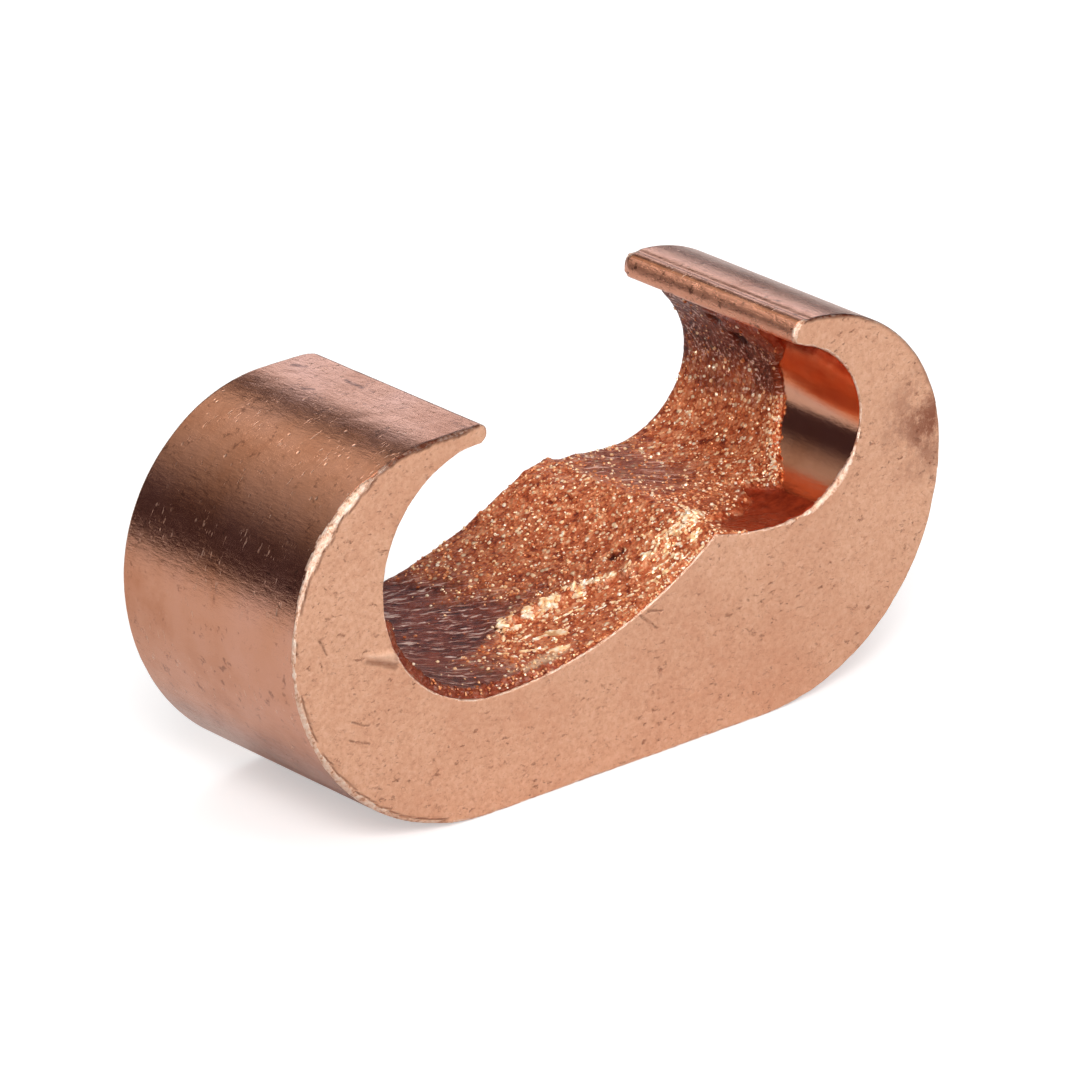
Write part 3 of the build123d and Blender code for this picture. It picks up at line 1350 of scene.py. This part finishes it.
def coat_height(along, y):
    """How thick the compound lies on the copper. Under 0 there is none."""
    behind = y - coat_edge(along)
    coat = smooth(-0.1, 0.3, behind)
    steep = smooth(4.0, 6.5, along)
    # The coat behind the torn edge, thicker at the far end, and the thin film in front of it
    thick = 0.28 + 0.04 * ragged(along, y, 2.5)
    far = smooth(-2.0, 7.0, y)
    thick += far * on_line(FAR_LAYER, along)
    film = 0.12 * (1 - smooth(0.5, 2.0, along)) + 0.02
    film += (0.06 * ragged(along, y, 0.8) + 0.04) * (1 - smooth(-1.0, 2.0, along))
    # The wet crest along the torn edge, and the thick edge of the flap in the tap groove
    wet = wet_share(along, y)
    flap = math.exp(-(((behind - 0.35) / 0.5) ** 2)) * smooth(5.0, 6.4, along)
    flap *= 1 - 0.6 * smooth(9.0, 12.0, along)
    # Lumps all over it, and fewer where it was wiped
    lumps = 0.05 * ragged(along, y, 0.7) + 0.045 * ragged(along, y, 0.3)
    height = film + thick * coat + 0.3 * wet * (1 + 0.7 * ragged(along, y, 0.45))
    height += 0.22 * flap * (1 + 0.5 * ragged(along, y, 0.5))
    height += lumps * (0.35 + 0.65 * coat) * (1 - 0.55 * smear_share(along, y))
    # A roll of paste along the photographed end of the run groove
    left_rim = math.exp(-(((y + HALF_LENGTH - 0.55) / 0.4) ** 2))
    left_rim *= 1 - smooth(-14.5, -11.5, along)
    height += 0.16 * left_rim * (1 + ragged(along, y, 0.35))
    # The pits, the bare wall in front of the flap, and the ragged ends of the road
    height -= 0.25 * pocket_share(along, y) * coat
    bare = steep * (1 - coat)
    height -= 0.3 * bare * smooth(7.5, 9.5, along)
    height -= 0.6 * smooth(19.0, 20.6, along + 0.8 * ragged(2, y, 1.5))
    height -= 0.6 * (1 - smooth(-30.3, -29.4, along + 0.5 * ragged(5, y, 1.5)))
    # The coat's own rims at both ends are rounded
    short = max(0.0, 1 - (y - COAT_FRONT) / COAT_RIM, 1 - (COAT_BACK - y) / COAT_RIM)
    if height > 0 and short > 0:
        height *= math.sqrt(max(0.0, 1 - min(1.0, short) ** 2))
    return height


# The right-hand edge of the wiped patch in the run groove, by the place along Y
WIPED_EDGE = (
    (-8.7, -14.6),
    (-7.2, -15.0),
    (-5.8, -17.4),
    (-3.6, -17.0),
    (-2.6, -13.6),
    (-2.0, -11.0),
    (-0.6, -9.4),
    (0.6, -10.6),
    (2.5, -11.6),
    (4.7, -11.4),
    (9.0, -12.4),
)


def smear_share(along, y):
    """Where the compound was wiped smooth and shows grey-brown, from 0 to 1."""
    # In the run groove, on the floor of the tap groove and high on its wall, with ragged edges
    warp = 1.5 * ragged(along, y, 2.2) + 0.9 * ragged(along, y, 0.7) + 0.5 * ragged(along, y, 0.25)
    left_edge = on_line(WIPED_EDGE, y)
    left = 1 - smooth(left_edge - 2.6, left_edge + 2.2, along + warp)
    floor = smooth(0.2, 2.2, along + warp) * (1 - smooth(4.6, 7.6, along + warp))
    floor *= smooth(-1.8, 2.0, y + warp)
    upper = smooth(12.0, 15.0, along + warp)
    return max(left, 0.6 * floor, 0.9 * upper)


def red_share(along, y):
    """Where the compound is thin, wet and red, from 0 to 1."""
    near_rim = 1 - smooth(0.35, 1.0, y + HALF_LENGTH + 0.4 * ragged(along, y, 0.5))
    left_rim = (1 - smooth(-13.5, -10.0, along)) * near_rim
    thin = smooth(0.6, 2.4, along) * (1 - smooth(-0.55, -0.05, y - coat_edge(along)))
    under_lip = smooth(16.5, 18.5, along + ragged(along, y, 1.2)) * (1 - smooth(1.0, 5.0, y))
    hollow = smooth(2.0, 3.5, along) * (1 - smooth(8.0, 9.5, along)) * (1 - smooth(-4.2, -2.0, y))
    return max(0.5 * left_rim, thin, 0.7 * under_lip, 0.55 * hollow)


def compound_coat():
    """The layer of compound: a closed skin over the inside of the C."""
    long_cells = round((ALONG_END - ALONG_START) / CELL)
    wide_cells = round((COAT_BACK - COAT_FRONT) / CELL)
    bm = bmesh.new()
    coat_mix = bm.verts.layers.float_color.new("coat_mix")
    bmesh.ops.create_grid(bm, x_segments=long_cells, y_segments=wide_cells, size=1)
    height = {}
    for vert in bm.verts:
        along = ALONG_START + (vert.co.x + 1) / 2 * (ALONG_END - ALONG_START)
        y = COAT_FRONT + (vert.co.y + 1) / 2 * (COAT_BACK - COAT_FRONT)
        height[(round(along, 3), round(y, 3))] = coat_height(along, y)
        vert.co = Vector((along, y, 0))
    bare = [
        f
        for f in bm.faces
        if all(height[(round(v.co.x, 3), round(v.co.y, 3))] < -0.05 for v in f.verts)
    ]
    bmesh.ops.delete(bm, geom=bare, context="FACES")
    made = bmesh.ops.extrude_face_region(bm, geom=bm.faces[:], use_keep_orig=True)
    top = [v for v in made["geom"] if isinstance(v, bmesh.types.BMVert)]
    bmesh.ops.translate(bm, verts=top, vec=(0, 0, 1))
    for vert in bm.verts:
        along, y, level = vert.co
        place, out = on_road(along)
        lift = COAT_ROOT
        if level > 0.5:
            lift = height[(round(along, 3), round(y, 3))]
        # Painted shade: dark in the pits, near the front rim, deep in the run groove and a little
        # behind the coat's edge
        near_rim = 1 - smooth(0.1, 0.5, y - COAT_FRONT)
        dark = max(pocket_share(along, y), 0.35 * near_rim * (1 - smooth(-13.0, -8.0, along)))
        dark = max(dark, 0.45 * (1 - smooth(-23.0, -17.5, along)))
        behind = smooth(0.5, 1.2, y - coat_edge(along))
        dark = max(dark, (0.1 + 0.18 * behind) * (1 - smooth(-9.0, -2.0, along)))
        # A patch in front of the coat that was wiped thin and shows pale copper; on the wet crest
        # the pale share is grit with a painted highlight
        patch = math.hypot((along + 13.8) / 2.4, (y + 7.5) / 0.7) + 0.5 * ragged(along, y, 0.6)
        pale = max(wet_share(along, y) * clumps(along, y), 0.55 * (1 - smooth(0.5, 1.1, patch)))
        red = red_share(along, y)
        vert[coat_mix] = (smear_share(along, y) * (1 - 0.8 * red), red, dark, pale)
        spot = place + out * lift
        y += 0.2 * (0.5 + ragged(along, 0, 0.7)) * max(0.0, 1 - (y - COAT_FRONT) / 1.2)
        vert.co = Vector((spot.x, y, spot.y)) * MM
    bmesh.ops.recalc_face_normals(bm, faces=bm.faces)
    for face in bm.faces:
        face.smooth = True
    return bm


# Wet streaks of grit in front of the crest: two ends along the road and along Y, the count of
# long slivers in each and their thickness
WET_STREAKS = (
    ((-15.3, -4.8), (-14.6, -5.7), 4, 0.1),
    ((-13.95, -5.3), (-13.2, -6.05), 4, 0.1),
    ((-12.95, -4.1), (-12.3, -4.4), 3, 0.1),
    ((-12.4, -4.9), (-10.9, -5.6), 7, 0.1),
    ((-13.9, -3.4), (-13.3, -3.0), 3, 0.12),
    ((-14.9, -4.2), (-14.3, -4.0), 3, 0.06),
    ((-14.6, -3.8), (-14.0, -4.6), 4, 0.06),
    ((-11.5, -5.4), (-11.2, -5.8), 5, 0.2),
    ((-12.6, -7.0), (-12.2, -7.3), 5, 0.17),
    ((-10.4, -4.2), (-8.2, -5.0), 7, 0.08),
    ((-8.5, -5.9), (-5.8, -7.2), 9, 0.07),
    ((-5.2, -7.3), (-1.8, -8.2), 14, 0.08),
    ((-4.4, -6.6), (-2.0, -7.4), 8, 0.09),
)


# How many grains stand all over the coat, on the crest at most, at the ridge, along the flap, and
# at most along the front rim
GRAINS = 3900
CREST_GRAINS = 1500
RIDGE_GRAINS = 300
FLAP_GRAINS = 240
RIM_GRAINS = 420


def grit_spots(draw):
    """Where each grain stands, as (along, y, size, pale, how much longer, heading)."""
    spots = []
    while len(spots) < GRAINS:
        along = draw.uniform(ALONG_START + 1, ALONG_END - 1)
        y = draw.uniform(0.3 - HALF_LENGTH, HALF_LENGTH - 0.3)
        smeared = smear_share(along, y)
        if coat_height(along, y) < 0.1 or draw.random() < 0.96 * smeared:
            continue
        size = 0.055 + 0.12 * draw.random() ** 2.2
        spots.append((along, y, size, draw.random() < 0.45, 1.0, draw.uniform(0, 6.28)))
    for _ in range(CREST_GRAINS):
        along = draw.uniform(-13.6, 1.6)
        y = coat_edge(along) + 0.3 + draw.gauss(0, 0.32)
        if draw.random() > on_line(CREST, along) * clumps(along, y):
            continue
        size = 0.05 + 0.2 * draw.random() ** 2.4
        longer = draw.uniform(1.0, 2.4)
        spots.append((along, y, size, draw.random() < 0.85, longer, draw.uniform(-0.9, 0.6)))
    for _ in range(RIDGE_GRAINS):
        along = draw.gauss(-0.6, 1.1)
        y = coat_edge(along) + draw.gauss(0.5, 0.6)
        spots.append((along, y, draw.uniform(0.08, 0.2), draw.random() < 0.6, 1.2, 0.0))
    for _ in range(FLAP_GRAINS):
        along = draw.uniform(6.4, 13.6)
        y = coat_edge(along) + abs(draw.gauss(0.25, 0.6))
        spots.append((along, y, draw.uniform(0.06, 0.15), draw.random() < 0.6, 1.0, 0.0))
    for start, end, count, size in WET_STREAKS:
        heading = math.atan2(end[1] - start[1], end[0] - start[0])
        for i in range(count):
            t = (i + draw.random()) / count
            along = start[0] + (end[0] - start[0]) * t + draw.gauss(0, 0.05)
            y = start[1] + (end[1] - start[1]) * t + draw.gauss(0, 0.05)
            swing = heading + draw.uniform(-0.25, 0.25)
            spots.append((along, y, size * draw.uniform(1.0, 1.7), True, 2.6, swing))
    for _ in range(RIM_GRAINS):
        along = draw.uniform(-24.0, 2.6)
        y = COAT_FRONT + 0.03 + abs(draw.gauss(0, 0.2))
        if along < -12 and draw.random() < 0.55:
            continue
        pale = draw.random() < (0.7 if -6 < along < 0 else 0.1)
        spots.append((along, y, draw.uniform(0.05, 0.11), pale, 1.0, 0.0))
    return spots


# How many grains are made before they go to the others
TRAY_GRAINS = 60


def grit_grains():
    """Grains of copper that stand out of the coat, each a little broken lump."""
    draw = random.Random(5)
    bm = bmesh.new()
    tray = bmesh.new()
    load = bpy.data.meshes.new("tray")
    spots = grit_spots(draw)
    for i, (along, y, size, pale, longer, heading) in enumerate(spots):
        place, out = on_road(along)
        spot = place + out * (max(0.03, coat_height(along, y)) - 0.1 * size)
        where = Matrix.Translation(Vector((spot.x, y, spot.y)) * MM)
        road = Vector((out.y, 0, -out.x))
        stand = Matrix((road, (0, 1, 0), (out.x, 0, out.y))).transposed().to_4x4()
        lean = Matrix.Rotation(draw.uniform(-0.5, 0.5), 4, Vector((draw.uniform(-1, 1), 1, 0)))
        spin = Matrix.Rotation(heading, 4, "Z") @ lean
        tall = size * draw.uniform(0.6, 0.95)
        shape = Matrix.Diagonal((size * longer, size * draw.uniform(0.6, 1.0), tall, 1))
        matrix = where @ stand @ spin @ shape
        grain = bmesh.ops.create_icosphere(tray, subdivisions=1, radius=MM, matrix=matrix)
        for face in {f for v in grain["verts"] for f in v.link_faces}:
            face.material_index = int(pale)
        if i % TRAY_GRAINS == TRAY_GRAINS - 1 or i == len(spots) - 1:
            tray.to_mesh(load)
            tray.clear()
            bm.from_mesh(load)
    tray.free()
    bpy.data.meshes.remove(load)
    return bm


coat = piece("compound_coat", compound_coat(), [grit_paste()])
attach(coat, "root")
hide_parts("joint_compound")

# The second set is painted near-white, as painted glints on the grit
grit_shades = [
    copper_grit("copper_grit_grains", "#B45A30", "#DC8A56", "#F4BA8A"),
    copper_grit("glint_grit_grains", "#F4C490", "#FFE0B6", "#FFF2DC"),
]
grains = piece("compound_grit", grit_grains(), grit_shades)
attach(grains, "root")


# The floor, the surround, the lamps and the world
def floor_material():
    """A white table. To the camera it adds a little white, so that it is as pale as the sky."""
    m = new_material("white_table")
    rays = add(m, "ShaderNodeLightPath")
    matt = add(m, "ShaderNodeBsdfDiffuse", Color=colour("#E2E0E0"))
    level = add(
        m, "ShaderNodeMath", {"operation": "MULTIPLY"}, i0=rays.outputs["Is Camera Ray"], i1=0.45
    ).outputs[0]
    lift = add(m, "ShaderNodeEmission", Color=colour("#FFFFFF"), Strength=level)
    both = add(m, "ShaderNodeAddShader", i0=matt.outputs[0], i1=lift.outputs[0])
    add(m, "ShaderNodeOutputMaterial", Surface=both.outputs[0])
    return m


# How far the floor lies under the part, so that the two don't share a plane
FLOOR_GAP = 0.02 * MM

bm = bmesh.new()
bmesh.ops.create_grid(bm, x_segments=1, y_segments=1, size=3.0)
bmesh.ops.translate(bm, verts=bm.verts, vec=(0, 0, -FLOOR_GAP))
floor = piece("floor", bm, [floor_material()])


# The drape stands round the part: its radius and height in metres, and where its first third
# starts, in degrees from +Y towards +X. The last number turns radians into degrees.
DRAPE_RADIUS = 1.5
DRAPE_HEIGHT = 2.6
THIRD_START = -45.0
DEGREES = 57.3


def drape_material():
    """The dark end of the studio with its soft boxes, which only the copper shows.

    Each third of the way round has a tall box that fades to one side, a gap and a low window.
    """
    m = new_material("dark_drape")
    place = add(m, "ShaderNodeTexCoord").outputs["Object"]
    part = add(m, "ShaderNodeSeparateXYZ", Vector=place).outputs
    # How far through a third of the turn a place lies, and how high as a share of upright
    turn = add(
        m,
        "ShaderNodeMath",
        {"operation": "MULTIPLY"},
        i0=add(
            m, "ShaderNodeMath", {"operation": "ARCTAN2"}, i0=part["X"], i1=part["Y"]
        ).outputs[0],
        i1=DEGREES,
    ).outputs[0]
    turn = add(
        m, "ShaderNodeMath", {"operation": "WRAP"}, i0=turn, i1=75.0, i2=THIRD_START
    ).outputs[0]
    turn = add(
        m,
        "ShaderNodeMath",
        {"operation": "DIVIDE"},
        i0=add(m, "ShaderNodeMath", {"operation": "SUBTRACT"}, i0=turn, i1=THIRD_START).outputs[0],
        i1=120.0,
    ).outputs[0]
    rise = add(
        m,
        "ShaderNodeMath",
        {"operation": "ARCTANGENT"},
        i0=add(
            m, "ShaderNodeMath", {"operation": "DIVIDE"}, i0=part["Z"], i1=DRAPE_RADIUS
        ).outputs[0],
    ).outputs[0]
    rise = add(
        m,
        "ShaderNodeMath",
        {"operation": "DIVIDE"},
        i0=add(m, "ShaderNodeMath", {"operation": "MULTIPLY"}, i0=rise, i1=DEGREES).outputs[0],
        i1=90.0,
    ).outputs[0]
    box = add(
        m,
        "ShaderNodeValToRGB",
        stops=[(0.0, 0.28), (0.15, 0.4), (0.38, 0.56), (0.5, 0.72), (0.52, 0.1), (0.6, 0.08)],
        Fac=turn,
    ).outputs[0]
    box_rise = add(m, "ShaderNodeValToRGB", stops=[(0.25, 0.0), (0.42, 1.0)], Fac=rise).outputs[0]
    window = add(
        m, "ShaderNodeValToRGB", stops=[(0.6, 0.0), (0.63, 1.0), (0.8, 1.0), (0.84, 0.0)], Fac=turn
    ).outputs[0]
    window_rise = add(
        m, "ShaderNodeValToRGB", stops=[(0.1, 0.0), (0.16, 1.0), (0.27, 1.0), (0.31, 0.0)], Fac=rise
    ).outputs[0]
    glow = add(m, "ShaderNodeMath", {"operation": "MULTIPLY"}, i0=box, i1=box_rise).outputs[0]
    pane = add(
        m,
        "ShaderNodeMath",
        {"operation": "MULTIPLY"},
        i0=add(
            m, "ShaderNodeMath", {"operation": "MULTIPLY"}, i0=window, i1=window_rise
        ).outputs[0],
        i1=1.6,
    ).outputs[0]
    lamp_light = add(m, "ShaderNodeEmission", Color=colour("#FFFBEF"), Strength=glow).outputs[0]
    daylight = add(m, "ShaderNodeEmission", Color=colour("#EAF2FF"), Strength=pane).outputs[0]
    cloth = add(m, "ShaderNodeEmission", Color=colour("#FFD6E6"), Strength=0.06).outputs[0]
    both = add(m, "ShaderNodeAddShader", i0=lamp_light, i1=daylight).outputs[0]
    every = add(m, "ShaderNodeAddShader", i0=both, i1=cloth).outputs[0]
    add(m, "ShaderNodeOutputMaterial", Surface=every)
    return m


bm = bmesh.new()
bmesh.ops.create_cone(
    bm,
    cap_ends=False,
    segments=96,
    radius1=DRAPE_RADIUS,
    radius2=DRAPE_RADIUS,
    depth=DRAPE_HEIGHT,
)
bmesh.ops.translate(bm, verts=bm.verts, vec=(0, 0, DRAPE_HEIGHT / 2))
drape = piece("drape", bm, [drape_material()])
for ray in ("camera", "diffuse", "shadow", "transmission", "volume_scatter"):
    setattr(drape, "visible_" + ray, False)


def softbox(name, azimuth, elevation, distance, size, watts):
    """A square area lamp that faces the part. Azimuth turns from +Y towards +X."""
    light = bpy.data.lights.new(name, "AREA")
    light.shape = "RECTANGLE"
    light.size, light.size_y = size
    light.energy = watts
    turn, rise = math.radians(azimuth), math.radians(elevation)
    way = Vector((math.sin(turn) * math.cos(rise), math.cos(turn) * math.cos(rise), math.sin(rise)))
    lamp = bpy.data.objects.new(name, light)
    lamp.location = way * distance
    lamp.rotation_euler = way.to_track_quat("Z", "Y").to_euler()
    bpy.context.collection.objects.link(lamp)


softbox("key_softbox", -145, 40, 1.1, (0.4, 0.4), 7.6)
softbox("fill_softbox", 150, 18, 1.2, (0.6, 0.5), 5.4)
softbox("top_softbox", 10, 62, 1.2, (0.7, 0.5), 2.5)

world = bpy.data.worlds.new("white_studio")
bpy.context.scene.world = world
world.use_nodes = True
world.node_tree.nodes.clear()
rays = add(world, "ShaderNodeLightPath")
seen = add(
    world,
    "ShaderNodeMath",
    {"operation": "MAXIMUM"},
    i0=rays.outputs["Is Glossy Ray"],
    i1=rays.outputs["Is Transmission Ray"],
).outputs[0]
seen = add(
    world, "ShaderNodeMath", {"operation": "MAXIMUM"}, i0=rays.outputs["Is Camera Ray"], i1=seen
).outputs[0]
level = add(world, "ShaderNodeMapRange", Value=seen, i1=0.0, i2=1.0, i3=0.42, i4=1.0)
sky = add(world, "ShaderNodeBackground", Color=colour("#FFFFFF"), Strength=level.outputs["Result"])
add(world, "ShaderNodeOutputWorld", Surface=sky.outputs[0])

bpy.context.scene.view_settings.view_transform = "Standard"
